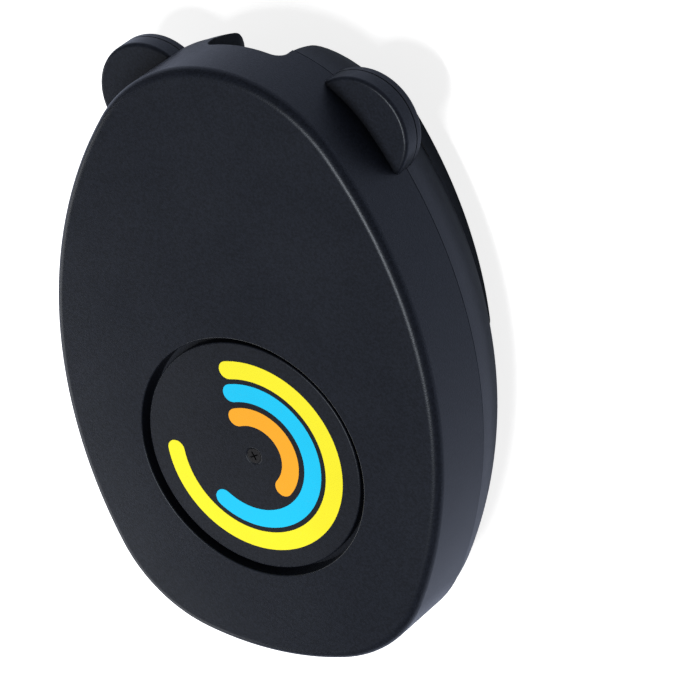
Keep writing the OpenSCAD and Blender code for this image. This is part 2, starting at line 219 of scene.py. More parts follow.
# %% The shell tree
def shell_tree():
    tree = bpy.data.node_groups.new("Shell sweep", "GeometryNodeTree")
    face = tree.interface
    face.new_socket("Geometry", in_out="INPUT", socket_type="NodeSocketGeometry")
    for title, kind in (
        ("Outline", "Object"),
        ("Section", "Object"),
        ("Plates", "Object"),
        ("Added", "Collection"),
        ("Cut", "Collection"),
        ("Finish", "Material"),
    ):
        face.new_socket(title, in_out="INPUT", socket_type="NodeSocket" + kind)
    face.new_socket("Geometry", in_out="OUTPUT", socket_type="NodeSocketGeometry")
    add = tree.nodes.new
    source = add("NodeGroupInput")

    def object_of(title):
        info = add("GeometryNodeObjectInfo")
        tree.links.new(source.outputs[title], info.inputs["Object"])
        return info.outputs["Geometry"]

    def members_of(title):
        info = add("GeometryNodeCollectionInfo")
        info.inputs["Separate Children"].default_value = True
        tree.links.new(source.outputs[title], info.inputs["Collection"])
        return info.outputs["Instances"]

    upright = add("GeometryNodeSetCurveNormal")
    upright.mode = "Z_UP"
    tree.links.new(object_of("Outline"), upright.inputs["Curve"])
    sweep = add("GeometryNodeCurveToMesh")
    tree.links.new(upright.outputs["Curve"], sweep.inputs["Curve"])
    tree.links.new(object_of("Section"), sweep.inputs["Profile Curve"])
    whole = add("GeometryNodeJoinGeometry")
    tree.links.new(sweep.outputs["Mesh"], whole.inputs["Geometry"])
    tree.links.new(object_of("Plates"), whole.inputs["Geometry"])
    weld = add("GeometryNodeMergeByDistance")
    weld.inputs["Distance"].default_value = 0.02 * MM
    tree.links.new(whole.outputs["Geometry"], weld.inputs["Geometry"])
    more = add("GeometryNodeMeshBoolean")
    more.operation = "UNION"
    more.solver = "EXACT"
    tree.links.new(weld.outputs["Geometry"], more.inputs["Mesh 2"])
    tree.links.new(members_of("Added"), more.inputs["Mesh 2"])
    less = add("GeometryNodeMeshBoolean")
    less.operation = "DIFFERENCE"
    less.solver = "EXACT"
    tree.links.new(more.outputs["Mesh"], less.inputs["Mesh 1"])
    tree.links.new(members_of("Cut"), less.inputs["Mesh 2"])
    real = add("GeometryNodeRealizeInstances")
    tree.links.new(less.outputs["Mesh"], real.inputs["Geometry"])
    paint = add("GeometryNodeSetMaterial")
    tree.links.new(real.outputs["Geometry"], paint.inputs["Geometry"])
    tree.links.new(source.outputs["Finish"], paint.inputs["Material"])
    sink = add("NodeGroupOutput")
    tree.links.new(paint.outputs["Geometry"], sink.inputs["Geometry"])
    return tree


shell = shell_tree()
print("shell tree:", len(shell.nodes), "nodes")


# %% [markdown]
# ## Finishes: shared effects
# Real finishes repeat the same few events: a spark-eroded grain in the mould, edges that hands have
# polished, dust on faces that look up, and fine streaks on rolled metal. Each event is a shader node
# group with named inputs, built once, and every material places it with its own values.


# %% A node helper
def node(tree, kind, values=None, **settings):
    made = tree.nodes.new("ShaderNode" + kind)
    for key, value in settings.items():
        setattr(made, key, value)
    for key, value in (values or {}).items():
        if hasattr(value, "links"):
            tree.links.new(value, made.inputs[key])
        else:
            made.inputs[key].default_value = value
    return made


def effect(name, inputs, outputs):
    tree = bpy.data.node_groups.new(name, "ShaderNodeTree")
    for title, value in inputs:
        socket = tree.interface.new_socket(title, in_out="INPUT", socket_type="NodeSocketFloat")
        socket.default_value = value
    for title in outputs:
        tree.interface.new_socket(title, in_out="OUTPUT", socket_type="NodeSocketFloat")
    source, sink = tree.nodes.new("NodeGroupInput"), tree.nodes.new("NodeGroupOutput")
    return tree, source.outputs, sink.inputs


def maths(tree, operation, a, b=0.5, clamp=False):
    return node(tree, "Math", {0: a, 1: b}, operation=operation, use_clamp=clamp).outputs[0]


# %% [markdown]
# ### Moulded grain
# A mould is textured by sparks or acid, so the plastic comes out covered in soft pits a quarter of a
# millimetre wide. An image could carry them, but noise on Object coordinates has no seams and stays
# at its real size. Tone is a slow change in brightness, such as flow marks leave. The third output is
# painted light and shade: a finer mottle for the colour, standing in for light falling across the pits.

# %% Grain group
grain, given, out = effect(
    "Moulded grain", [("Pit per mm", 4.0), ("Softness", 0.5)], ["Height", "Tone", "Speck"]
)
place = node(grain, "TexCoord").outputs["Object"]
density = maths(grain, "MULTIPLY", given["Pit per mm"], PER_MM)
around_pit = {"Vector": place, "Scale": density, "Smoothness": given["Softness"]}
pits = node(grain, "TexVoronoi", around_pit, feature="SMOOTH_F1")
fine = node(grain, "TexNoise", {"Vector": place, "Scale": density, "Detail": 3.0, "Roughness": 0.6})
grain.links.new(maths(grain, "ADD", pits.outputs["Distance"], fine.outputs["Fac"]), out["Height"])
slow = node(grain, "TexNoise", {"Vector": place, "Scale": 45.0, "Detail": 4.0, "Roughness": 0.55})
grain.links.new(slow.outputs["Fac"], out["Tone"])
# Painted light and shade: a coarser noise that mottles the colour as light across the pits would
coarse = maths(grain, "MULTIPLY", density, 0.6)
dots = node(grain, "TexNoise", {"Vector": place, "Scale": coarse, "Detail": 2.0, "Roughness": 0.7})
spread = node(grain, "MapRange", {"Value": dots.outputs["Fac"], "From Min": 0.35, "From Max": 0.65})
grain.links.new(spread.outputs["Result"], out["Speck"])
print("grain group:", len(grain.nodes), "nodes")

# %% [markdown]
# ### Edge wear
# Corners touch hands and bags first, so they turn smoother and a little paler. The Bevel node rounds
# the normal near an edge, and where it leaves the true normal there is an edge. Noise breaks it up.

# %% Wear group
wear, given, out = effect("Edge wear", [("Width mm", 0.4), ("Amount", 0.5)], ["Mask"])
place = node(wear, "TexCoord").outputs["Object"]
soft = node(wear, "Bevel", {"Radius": maths(wear, "MULTIPLY", given["Width mm"], MM)}, samples=6)
true = node(wear, "NewGeometry").outputs["Normal"]
same = node(wear, "VectorMath", {0: soft.outputs["Normal"], 1: true}, operation="DOT_PRODUCT")
leaning = maths(wear, "SUBTRACT", 1.0, same.outputs["Value"])
turn = maths(wear, "MULTIPLY", leaning, 6.0, clamp=True)
patch = node(wear, "TexNoise", {"Vector": place, "Scale": 260.0, "Detail": 5.0, "Roughness": 0.6})
broken = node(wear, "MapRange", {"Value": patch.outputs["Fac"], "From Min": 0.35, "From Max": 0.65})
rubbed = maths(wear, "MULTIPLY", maths(wear, "MULTIPLY", turn, broken.outputs["Result"]), given["Amount"])
wear.links.new(rubbed, out["Mask"])
print("wear group:", len(wear.nodes), "nodes")

# %% [markdown]
# ### Dust and streaks
# Dust lies where the surface looks up, in loose specks. Rolled and turned metal has fine parallel
# lines, made here by stretching noise along one axis with a Mapping node.

# %% Dust group and streak group
dust, given, out = effect("Dust", [("Amount", 0.1)], ["Mask"])
place = node(dust, "TexCoord").outputs["Object"]
up = node(dust, "SeparateXYZ", {0: node(dust, "NewGeometry").outputs["Normal"]}).outputs["Z"]
specks = node(dust, "TexNoise", {"Vector": place, "Scale": 900.0, "Detail": 4.0, "Roughness": 0.7})
lying = node(dust, "MapRange", {"Value": specks.outputs["Fac"], "From Min": 0.58, "From Max": 0.78})
fallen = maths(dust, "MULTIPLY", maths(dust, "MAXIMUM", up, 0.0), lying.outputs["Result"])
dust.links.new(maths(dust, "MULTIPLY", fallen, given["Amount"]), out["Mask"])

streak, given, out = effect("Streaks", [("Lines per mm", 3.0)], ["Height"])
place = node(streak, "TexCoord").outputs["Object"]
drawn = node(streak, "Mapping", {"Vector": place, "Scale": (1.0, 0.03, 1.0)})
density = maths(streak, "MULTIPLY", given["Lines per mm"], PER_MM)
fibre = {"Vector": drawn.outputs[0], "Scale": density, "Detail": 4.0, "Roughness": 0.65}
lines = node(streak, "TexNoise", fibre)
streak.links.new(lines.outputs["Fac"], out["Height"])
print("dust:", len(dust.nodes), "nodes, streaks:", len(streak.nodes), "nodes")

# %% [markdown]
# ## Finishes: materials
# Two recipes cover the whole object, one for moulded things and one for metal. Both start from a
# bare Principled shader, whose plain values are set on its own sockets, so that they survive an
# export. Both then place the effect groups and blend colours with a Mix node.


# %% What both recipes use
def placed(tree, group, **values):
    made = tree.nodes.new("ShaderNodeGroup")
    made.node_tree = group
    for key, value in values.items():
        made.inputs[key.replace("_", " ")].default_value = value
    return made.outputs


def bare(name, colour, roughness):
    material = bpy.data.materials.new(name)
    material.use_nodes = True
    material.diffuse_color = (*colour, 1.0)
    shader = material.node_tree.nodes["Principled BSDF"]
    shader.inputs["Base Color"].default_value = (*colour, 1.0)
    shader.inputs["Roughness"].default_value = roughness
    return material, material.node_tree, shader


def tint(tree, factor, a, b):
    """A colour between a and b; the numbers are the colour sockets of a Mix node."""
    mixed = node(tree, "Mix", data_type="RGBA")
    tree.links.new(factor, mixed.inputs[0])
    for socket, value in ((mixed.inputs[6], a), (mixed.inputs[7], b)):
        if hasattr(value, "links"):
            tree.links.new(value, socket)
        else:
            socket.default_value = (*value, 1.0)
    return mixed.outputs[2]


# %% [markdown]
# ### Moulded things
# Plastics, rubber, ink and board get grain, worn edges and dust. Their colour drifts a little with
# the tone of the grain, since an even colour looks like paint rather than plastic, and a fine mottle of
# painted light and shade lies over it. The mirror-like part is tinted cool, a painted cool reflection
# that stands in for bluish room light.

# %% Moulded recipe
# Painted cool reflection: every reflection is tinted blue, standing in for bluish room light
PAINTED_COOL_REFLECTION = (0.85, 0.92, 1.0, 1.0)
DUST_COLOUR = (0.30, 0.29, 0.27)
WORN_WIDTH = 0.4  # mm of edge that handling polishes


def moulded(
    name, colour, roughness, pits=4.0, depth=0.02, sheen=0.5, worn=0.5, dusty=0.05, painted_grain_shade=0.05
):
    """Plastic, rubber, ink or board; depth is how deep the grain is, in mm."""
    material, tree, shader = bare(name, colour, roughness)
    shader.inputs["Specular IOR Level"].default_value = sheen
    # The reflections take the painted cool tint
    shader.inputs["Specular Tint"].default_value = PAINTED_COOL_REFLECTION
    skin = placed(tree, grain, Pit_per_mm=pits)
    rub = placed(tree, wear, Width_mm=WORN_WIDTH, Amount=worn)["Mask"]
    fall = placed(tree, dust, Amount=dusty)["Mask"]
    darker = tuple(c * 0.9 for c in colour)
    lighter = tuple(c * 1.1 for c in colour)
    rubbed = tuple(min(1.0, c * 1.5 + 0.012) for c in colour)
    body = tint(tree, skin["Tone"], darker, lighter)
    # Painted light and shade of the grain: the colour is brightened and darkened in a fine mottle
    dot = {"Value": skin["Speck"], "To Min": 1 - painted_grain_shade, "To Max": 1 + painted_grain_shade}
    dot = node(tree, "MapRange", dot).outputs["Result"]
    body = node(tree, "VectorMath", {0: body, "Scale": dot}, operation="SCALE").outputs["Vector"]
    body = tint(tree, rub, body, rubbed)
    tree.links.new(tint(tree, fall, body, DUST_COLOUR), shader.inputs["Base Color"])
    uneven = {"Value": skin["Tone"], "To Min": roughness - 0.05, "To Max": roughness + 0.05}
    uneven = node(tree, "MapRange", uneven).outputs["Result"]
    smoother = maths(tree, "SUBTRACT", uneven, maths(tree, "MULTIPLY", rub, 0.15), clamp=True)
    tree.links.new(smoother, shader.inputs["Roughness"])
    bump = node(tree, "Bump", {"Height": skin["Height"], "Distance": depth * MM, "Strength": 1.0})
    tree.links.new(bump.outputs["Normal"], shader.inputs["Normal"])
    return material


# %% [markdown]
# ### Metal
# Rolled and turned metal is lively along its lines and dull in patches. The streaks drive both the
# roughness and a very low bump, and the slow tone of the grain darkens it as tarnish does.


# %% Metal recipe
def metal(name, colour, roughness, lines=3.0, depth=0.004, tarnish=0.75):
    material, tree, shader = bare(name, colour, roughness)
    shader.inputs["Metallic"].default_value = 1.0
    drawn = placed(tree, streak, Lines_per_mm=lines)["Height"]
    skin = placed(tree, grain, Pit_per_mm=1.2)
    dull = tuple(c * tarnish for c in colour)
    tree.links.new(tint(tree, skin["Tone"], dull, colour), shader.inputs["Base Color"])
    uneven = {"Value": drawn, "To Min": roughness - 0.08, "To Max": roughness + 0.10}
    uneven = node(tree, "MapRange", uneven).outputs["Result"]
    tree.links.new(uneven, shader.inputs["Roughness"])
    bump = node(tree, "Bump", {"Height": drawn, "Distance": depth * MM, "Strength": 0.7})
    tree.links.new(bump.outputs["Normal"], shader.inputs["Normal"])
    return material


# %% [markdown]
# ### One material for each slot
# The slot names are the ones that the part's record uses, so a finish can be looked up by a node's
# name. The case is near black with a cool cast. Ink lies in a thin satin film with hardly any grain.

# %% Finishes by slot
# The case gets a strong mottle of painted light and shade over its grain
BLACK = {"pits": 3.2, "depth": 0.013, "sheen": 0.22, "dusty": 0.0, "painted_grain_shade": 0.3}
INKED = {"pits": 8, "depth": 0.004, "sheen": 0.3, "worn": 0.1}
FINISH = {
    "case_plastic": moulded("Housing plastic", (0.0082, 0.0100, 0.0160), 0.36, **BLACK),
    "disc_plastic": moulded("Disc plastic", (0.0074, 0.0088, 0.0138), 0.40, **BLACK),
    "yellow_ink": moulded("Yellow ink", (0.93, 0.84, 0.014), 0.5, **INKED),
    "blue_ink": moulded("Blue ink", (0.0, 0.56, 0.90), 0.5, **INKED),
    "orange_ink": moulded("Orange ink", (0.94, 0.40, 0.010), 0.5, **INKED),
    "steel": metal("Bright steel", (0.62, 0.63, 0.65), 0.28),
    "dark_steel": metal("Blackened steel", (0.055, 0.055, 0.06), 0.38, tarnish=0.6),
    "plate_metal": metal("Galvanised sheet", (0.55, 0.56, 0.58), 0.42, lines=1.5, tarnish=0.6),
    "gear_plastic": moulded("Natural acetal", (0.80, 0.79, 0.74), 0.42, pits=5, depth=0.006, worn=0.2),
    "bronze": metal("Sintered bronze", (0.55, 0.40, 0.20), 0.5, lines=1.2, depth=0.01, tarnish=0.6),
    "brass": metal("Machined brass", (0.72, 0.55, 0.24), 0.25, lines=5.0),
    "copper": metal("Enamelled copper", (0.62, 0.30, 0.14), 0.30, lines=4.0, depth=0.02, tarnish=0.7),
    "magnet": moulded("Ferrite", (0.05, 0.05, 0.055), 0.6, pits=6, depth=0.01, worn=0.3),
    "board": moulded("Solder mask", (0.02, 0.09, 0.05), 0.3, pits=2, depth=0.01, worn=0.2),
    "black_plastic": moulded("Filled epoxy", (0.02, 0.02, 0.022), 0.5, pits=6, depth=0.01, worn=0.3),
    "white_plastic": moulded("Natural nylon", (0.75, 0.74, 0.70), 0.45, pits=5, depth=0.006, worn=0.1),
    "sleeve": moulded("Shrink sleeve", (0.03, 0.04, 0.16), 0.25, pits=2, depth=0.006, worn=0.2),
    "ceramic": moulded("Ceramic chips", (0.50, 0.42, 0.28), 0.4, pits=8, depth=0.004, worn=0.2),
    "wire": moulded("Wire insulation", (0.45, 0.03, 0.02), 0.45, pits=3, depth=0.004, worn=0.1),
    "rubber": moulded("Moulded rubber", (0.016, 0.0185, 0.025), 0.62, 5, 0.03, 0.35, dusty=0.0),
}
slot_of = {part["node"]: part["material_slot"] for part in frame["record"]["subparts"]}
for name, solid in nodes.items():
    for place in solid.material_slots:
        place.material = FINISH[slot_of[name]]
print(len(FINISH), "finishes on", len(slot_of), "nodes")


# %% [markdown]
# ## Solids to add and to cut
# The shells carry ears, screw bosses and the walls of the plug bay, and they are opened by the disc's
# well, the bay and the screw holes. Each is a small closed body. They are kept in collections, because
# the Geometry Nodes tree reads a whole collection as one input.


# %% Collections and plain bodies
def gathered(title, objects):
    box = bpy.data.collections.new(title)
    for obj in objects:
        for home in list(obj.users_collection):
            home.objects.unlink(obj)
        box.objects.link(obj)
    return box


def quarter(n):
    """The angles of a quarter turn in n steps."""
    return [math.pi / 2 * i / n for i in range(n + 1)]


def rod(name, x, y, radius, low, high, steps=48):
    return turned(name, (x, y), [(radius, low), (radius, high)], steps)


def rods(name, spots, radius, low, high, steps=48):
    return [rod(f"{name}{i}", x, y, radius, low, high, steps) for i, (x, y) in enumerate(spots)]


def prism_y(name, outline, y_low, y_high):
    return rings_object(name, [[(x, y, z) for x, z in outline] for y in (y_low, y_high)])


print("a quarter turn in 12 steps:", len(quarter(12)), "angles")


# %% [markdown]
# ### Ears
# Each ear is a flat disc, half of it moulded on the upper case and half on the lower. The outer edge
# is rounded and the joint is marked by a fine groove, so both are in the profile that is turned.

# %% Ear halves
groove_step = [(0.5, JOINT), (0.5, JOINT + GROOVE), (0.06, JOINT + GROOVE), (0.0, JOINT + GROOVE + 0.06)]


def ear_disc(name, side, z_far):
    """Half an ear: a thick disc from the joint to z_far, rounded there; upper halves have the groove."""
    x, y, r = side * EAR[0], EAR[1], EAR[2]
    soft = 0.8
    s = 1 if z_far > JOINT else -1
    edge = [(r - inset, z) for inset, z in groove_step] if s > 0 else [(r, JOINT)]
    edge += [
        (r - soft + soft * math.cos(a), z_far - s * soft + s * soft * math.sin(a))
        for a in quarter(8)
    ]
    return turned(name, (x, y), edge if s > 0 else edge[::-1])


print("groove:", GROOVE, "mm high,", groove_step[0][0], "mm deep")


# %% [markdown]
# ### The plug bay
# An arch in the ear end gives a plug room to sit flush. Its sides flare at the foot, its ceiling has
# rounded corners, and its outer corners are rounded more towards the floor. The last of these changes
# with height, so its cutter is skinned from rings, while the arch itself is one straight prism.

# %% Bay shapes
bay_half = BAY_W + BAY_FOOT + WALL


def bay_section():
    """Half and mirrored: the bay's side, its rounded ceiling corner and its flared foot, as (x, z)."""
    r, wide = BAY_CORNER, BAY_W + BAY_FOOT
    ceiling = [
        (BAY_W - r + r * math.sin(a), BAY_TOP - r + r * math.cos(a)) for a in quarter(10)
    ]
    foot = [
        (wide - BAY_FOOT * math.cos(a), FEET + BAY_FOOT - BAY_FOOT * math.sin(a)) for a in quarter(12)
    ]
    half = ceiling + foot + [(wide, BELOW)]
    return half + [(-x, z) for x, z in reversed(half)]


def bay_reach(z):
    """Half width of the bay at height z, between its straight side and its flared foot."""
    rise = max(0.0, FEET + BAY_FOOT - z)
    return BAY_W + BAY_FOOT - math.sqrt(BAY_FOOT**2 - rise**2)


def mouth_cutter(name, side, widest=3.0, fade=9.0):
    """What is taken off the bay's outer corner: a rounding widest at the floor, gone at height fade."""
    rings = []
    for z in (BELOW, FEET, 3.2, 4.0, 5.0, 6.0, 7.0, 8.0, fade):
        level = max(z, FEET)
        r = widest * (1 - (level - FEET) / (fade - FEET)) ** 1.5 + 0.02
        h, wall = bay_reach(level), TIP[0] - bow(level)
        centre = (h + r, c_tip[1] + math.sqrt((wall - r) ** 2 - (h + r) ** 2))
        stop = math.degrees(math.atan2(centre[1] - c_tip[1], centre[0]))
        arc = [ray(centre, r, 180 + (stop - 180) * i / 10) for i in range(11)]
        ring = arc + [ray(c_tip, wall + 4, stop), (h - 1, BEYOND), (h - 1, centre[1])]
        rings.append([(side * x, y, z) for x, y in ring])
    return rings_object(name, rings)


def bay_walls(name, levels):
    """The block that the bay is cut from; levels lists (height, inset) from below."""
    rings = []
    for z, inset in levels:
        arc = [
            (x, c_tip[1] + math.sqrt((TIP[0] - inset) ** 2 - x * x), z)
            for x in (bay_half - 2 * bay_half * i / 24 for i in range(25))
        ]
        rings.append(arc + [(-bay_half, BAY_BACK - WALL, z), (bay_half, BAY_BACK - WALL, z)])
    return rings_object(name, rings)


print("bay section:", len(bay_section()), "points")

# %% [markdown]
# ### From tree to piece
# A tree's result has to become a plain mesh, since a live modifier would be evaluated again at every
# render. The evaluated object is copied out, the helpers are deleted, and edges that turn by more
# than a given angle are marked sharp. A Weighted Normal modifier then lets the large flat faces decide
# the shading, so that the rounded rim runs into a deck that stays flat.


# %% Finishing helpers
def dress(obj, tree, values):
    """Give obj the tree as a modifier, with its inputs set by identifier."""
    made = obj.modifiers.new(tree.name, "NODES")
    made.node_group = tree
    names = {item.name: item.identifier for item in tree.interface.items_tree if item.in_out == "INPUT"}
    for title, value in values.items():
        made[names[title]] = value
    return obj


def settled(obj, name, helpers=()):
    """The evaluated result of obj's modifiers as a plain mesh object; obj and its helpers go."""
    bpy.context.view_layer.update()
    ready = obj.evaluated_get(bpy.context.evaluated_depsgraph_get())
    data = bpy.data.meshes.new_from_object(ready)
    data.name = name
    piece = link(bpy.data.objects.new(name, data))
    for old in [obj, *helpers]:
        bpy.data.objects.remove(old, do_unlink=True)
    return piece


def volume(obj):
    """Cubic millimetres inside a closed mesh, from the tetrahedra that its triangles make."""
    total = 0.0
    points = obj.data.vertices
    obj.data.calc_loop_triangles()
    for t in obj.data.loop_triangles:
        a, b, c = (points[i].co for i in t.vertices)
        total += a.dot(b.cross(c)) / 6
    return total / MM**3


def smooth(obj, degrees):
    """Smooth shading up to an angle of degrees, with the large faces in the lead."""
    obj.data.shade_smooth()
    obj.data.set_sharp_from_angle(angle=math.radians(degrees))
    even = obj.modifiers.new("Flat faces lead", "WEIGHTED_NORMAL")
    even.keep_sharp = True
    even.weight = 100
    return obj


def joined(name, objects):
    """Several mesh objects as one."""
    verts, faces = [], []
    for obj in objects:
        start = len(verts)
        verts += [tuple(v.co / MM) for v in obj.data.vertices]
        faces += [tuple(start + i for i in p.vertices) for p in obj.data.polygons]
        bpy.data.objects.remove(obj)
    return mesh_object(name, verts, faces)


def finished(obj, body, slot, *replaced):
    """Paint a finished piece and let it ride; the empty slot that a Boolean leaves goes first."""
    paints = obj.data.materials
    for i in reversed(range(len(paints))):
        if paints[i] is None:
            paints.pop(index=i)
    if not paints:
        paints.append(FINISH[slot])
    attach(obj, body)
    if replaced:
        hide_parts(*replaced)
    return obj


# %% [markdown]
# ## The upper case
# It is the piece the hand meets: a flat deck with a rounded rim, an upright wall, the upper halves of
# the two ears, and the well that the disc turns in. Both case halves are put together by the same
# function, which feeds the tree, keeps its result and clears the helpers away.


# %% Cutting and putting together
def carved(obj, *cutters):
    """obj with the cutters' shapes taken out of it, as a plain mesh."""
    for cutter in cutters:
        bite = obj.modifiers.new("bite", "BOOLEAN")
        bite.operation = "DIFFERENCE"
        bite.solver = "EXACT"
        bite.object = cutter
    return settled(obj, obj.name, cutters)


def trimmed(obj):
    """An ear stops inside the wall, so that nothing reaches into the case."""
    low, high = JOINT - 5.5, JOINT + 9.5
    return carved(obj, rings_object("room", [[(x, y, z) for x, y in egg(WALL / 2)] for z in (low, high)]))


def plates(name, levels):
    """Two flat faces at (inset, height); the first looks down and the second looks up."""
    verts, faces = [], []
    for k, (inset, z) in enumerate(levels):
        ring = egg(inset)
        order = range(len(ring)) if k == 0 else reversed(range(len(ring)))
        faces.append(tuple(len(verts) + i for i in order))
        verts += [(x, y, z) for x, y in ring]
    return mesh_object(name, verts, faces)


def build_shell(name, section, levels, added, cut):
    """A case half: section swept round the egg, plates at levels, bodies added and cut away."""
    outline = curve_object(name + "_outline", egg(), True)
    profile = curve_object(name + "_section", [(inset, -z) for inset, z in section], False)
    flat = plates(name + "_plates", levels)
    carrier = mesh_object(name + "_carrier", [(0, 0, 0)], [])
    more, less = gathered(name + " added", added), gathered(name + " cut", cut)
    dress(
        carrier,
        shell,
        {
            "Outline": outline,
            "Section": profile,
            "Plates": flat,
            "Added": more,
            "Cut": less,
            "Finish": FINISH["case_plastic"],
        },
    )
    piece = settled(carrier, name, [outline, profile, flat, *more.objects, *less.objects])
    for box in (more, less):
        bpy.data.collections.remove(box)
    return piece


print("plates have", len(egg()), "corners")

# %% [markdown]
# ### Its section and its bodies
# The section lists (inset, height) pairs round the wall, from the roof down the inner face, across
# the joint and up the outer face to the deck. The well's mouth has a small rounding, because a disc
# that turns in a sharp-edged hole would look stamped rather than moulded.

# %% Build the upper case
MOUTH = 0.3  # rounding at the mouth of the well
well_edge = [
    (WELL_R + MOUTH - MOUTH * math.cos(a), DECK - MOUTH + MOUTH * math.sin(a)) for a in quarter(5)
]
rim = [(RIM - RIM * math.cos(a), DECK - RIM + RIM * math.sin(a)) for a in quarter(12)]
upper_section = [(WALL, ROOF), (WALL, JOINT), *groove_step, *rim]
upper_added = [
    trimmed(ear_disc(f"ear{s}", s, JOINT + EAR_UP)) for s in (1, -1)
] + [
    bay_walls("bay", [(JOINT, 1.0), (BAY_TOP + WALL, 1.0)]),
    rod("well_wall", 0, SPINDLE_Y, WELL_R + 1.5, 26.0, ROOF + 1, 96),
]
upper_added += rods("boss", CASE_SCREWS, 3.3, JOINT, ROOF + 1)
upper_cut = [
    prism_y("bay_cut", bay_section(), BAY_BACK, BEYOND),
    turned("well", (0, SPINDLE_Y), [(WELL_R, 27.5), *well_edge, (WELL_R + MOUTH, 36)], 128),
    rod("hub_hole", 0, SPINDLE_Y, 8.5, 20, 30),
]
upper_cut += rods("pilot", CASE_SCREWS, 1.25, 10, JOINT + 10, 24)
upper_levels = [(WALL, ROOF), (RIM, DECK)]
upper_case = build_shell("upper_case", upper_section, upper_levels, upper_added, upper_cut)
print("upper case:", len(upper_case.data.polygons), "faces,", round(volume(upper_case)), "mm3")

# %% [markdown]
# ### Its surface
# The case leaves the mould with sharp and soft edges side by side. Marking by angle keeps the joint
# and the mouth of the bay crisp, and it needs no edge to be picked by hand.

# %% Finish the upper case
smooth(upper_case, 30)
finished(upper_case, "housing", "case_plastic", "top_shell")
print("finish:", upper_case.data.materials[0].name)

# %% [markdown]
# ## The lower case
# The same tree makes it from another section: a rounded floor edge, a wall that bows out to the
# joint, and a lip that locates the upper case. The section runs the other way round, from the floor
# up the outer face, over the lip and down the inner face.

# %% The lower section
SINK = FEET + 1  # posts and bosses start inside the floor plate, so that they weld to it
CHAMFER = 0.15  # broken outer edge at the joint
LIP_GAP, LIP_THICK, LIP_UP, LIP_DOWN = 0.1, 1.0, 1.4, 1.0
INNER_TOP = 12.25  # where the inner face starts to bow
edge = (bow(SINK, 1.0), SINK)
last = math.atan2(BOW_C[1] - edge[1], BOW_C[0] - edge[0])
floor_edge = [
    (edge[0] - math.cos(a), edge[1] - math.sin(a))
    for a in (math.pi / 2 + (last - math.pi / 2) * i / 6 for i in range(7))
]
low_z, high_z = floor_edge[-1][1], JOINT - CHAMFER
outer = [(bow(z), z) for z in (low_z + (high_z - low_z) * i / 14 for i in range(1, 15))]
lip_out, lip_in = WALL + LIP_GAP, WALL + (LIP_GAP + LIP_THICK)
lip = [
    (bow(high_z) + CHAMFER, JOINT),
    (lip_out, JOINT),
    (lip_out, JOINT + LIP_UP),
    (lip_in, JOINT + LIP_UP),
    (lip_in, JOINT - LIP_DOWN),
]
inner = [(bow(z, WALL), z) for z in (INNER_TOP + (FLOOR - INNER_TOP) * i / 8 for i in range(9))]
lower_section = floor_edge + outer + lip + inner
print("lower section:", len(lower_section), "points, floor edge inset", round(floor_edge[0][0], 2), "mm")


# %% [markdown]
# ### A band with round ends
# The rubber feet and the printed rings are the same shape at different sizes: a strip of even width
# along an arc, with half-round ends. Written once as a function, it serves the seats, feet and ink.


# %% Tracks and foot bands
def track(centre, radius, half_width, start, end, n=40, flip=1):
    """A band with round ends along an arc, as points; flip -1 mirrors it to the other side."""
    def arc(c, r, a, b, steps):
        return [ray(c, r, a + (b - a) * i / steps) for i in range(steps + 1)]

    points = (
        arc(centre, radius + half_width, start, end, n)
        + arc(ray(centre, radius, end), half_width, end, end + 180, 12)[1:-1]
        + arc(centre, radius - half_width, end, start, n)
        + arc(ray(centre, radius, start), half_width, start + 180, start + 360, 12)[1:-1]
    )
    return [(flip * x, y) for x, y in points]


FOOT_BANDS = {  # centre, radius, half width, first and last angle
    "side": ((c_side[0], c_side[1] + 5), SIDE[0] - 8.43, 2.0, 2, 31),
    "front": (c_corner, CORNER[0] - 9.5, 2.0, -76, -46),
}


def band(name, kind, flip, levels):
    """A foot as a closed body; levels lists (height, how much narrower) from the desk upwards."""
    c, r, w, a, b = FOOT_BANDS[kind]
    return rings_object(
        name, [[(x, y, z) for x, y in track(c, r, w - less, a, b, 40, flip)] for z, less in levels]
    )


print("foot bands:", {kind: round(values[1], 2) for kind, values in FOOT_BANDS.items()}, "mm radius")

# %% [markdown]
# ### Posts, seats and holes
# The lower case carries everything, so it gets the most bodies: its halves of the ears, the block
# round the plug bay, and posts for the screws, the plate and the board. Screw heads sink into it from
# below, and the feet sit in seats that are a hair larger than the rubber.


# %% Build the lower case
def block_y(name, half, low, high, y_low, y_high):
    """A box between two heights, as wide as half on either side of the middle."""
    return prism_y(name, [(-half, low), (half, low), (half, high), (-half, high)], y_low, y_high)


PORT_HALF, PORT_LOW, PORT_HIGH = 4.1, 10.35, 13.65  # window for the socket in the bay's back wall
HEAD_HOLE, HEAD_DEPTH = 3.0, 5  # radius and depth of the holes for the case screws' heads
SEAT_GAP, SEAT_DEPTH = 0.1, 0.7
lower_added = [
    trimmed(ear_disc(f"ear{s}", s, JOINT - EAR_DOWN)) for s in (1, -1)
] + [
    bay_walls("bay", [(SINK, 5.5), (JOINT, 1.4)]),
    rod("bearing", 0, SPINDLE_Y, 5, SINK, 9.7),
]
lower_added += rods("boss", CASE_SCREWS, 4.4, SINK, JOINT)
lower_added += rods("post", PLATE_SCREWS, 3, SINK, 16.5)
lower_added += rods("stand", BOARD_SCREWS, 2.6, SINK, 9.5)
lower_cut = [
    prism_y("bay_cut", bay_section(), BAY_BACK, BEYOND),
    block_y("lip_gap", bay_half, JOINT, 24, BAY_BACK - WALL, 70),
    block_y("port", PORT_HALF, PORT_LOW, PORT_HIGH, 49, 54),
    rod("bearing_bore", 0, SPINDLE_Y, 2.05, 5.7, 20),
    mouth_cutter("mouth_right", 1),
    mouth_cutter("mouth_left", -1),
]
lower_cut += rods("shank", CASE_SCREWS, 1.5, 0, 30, 32)
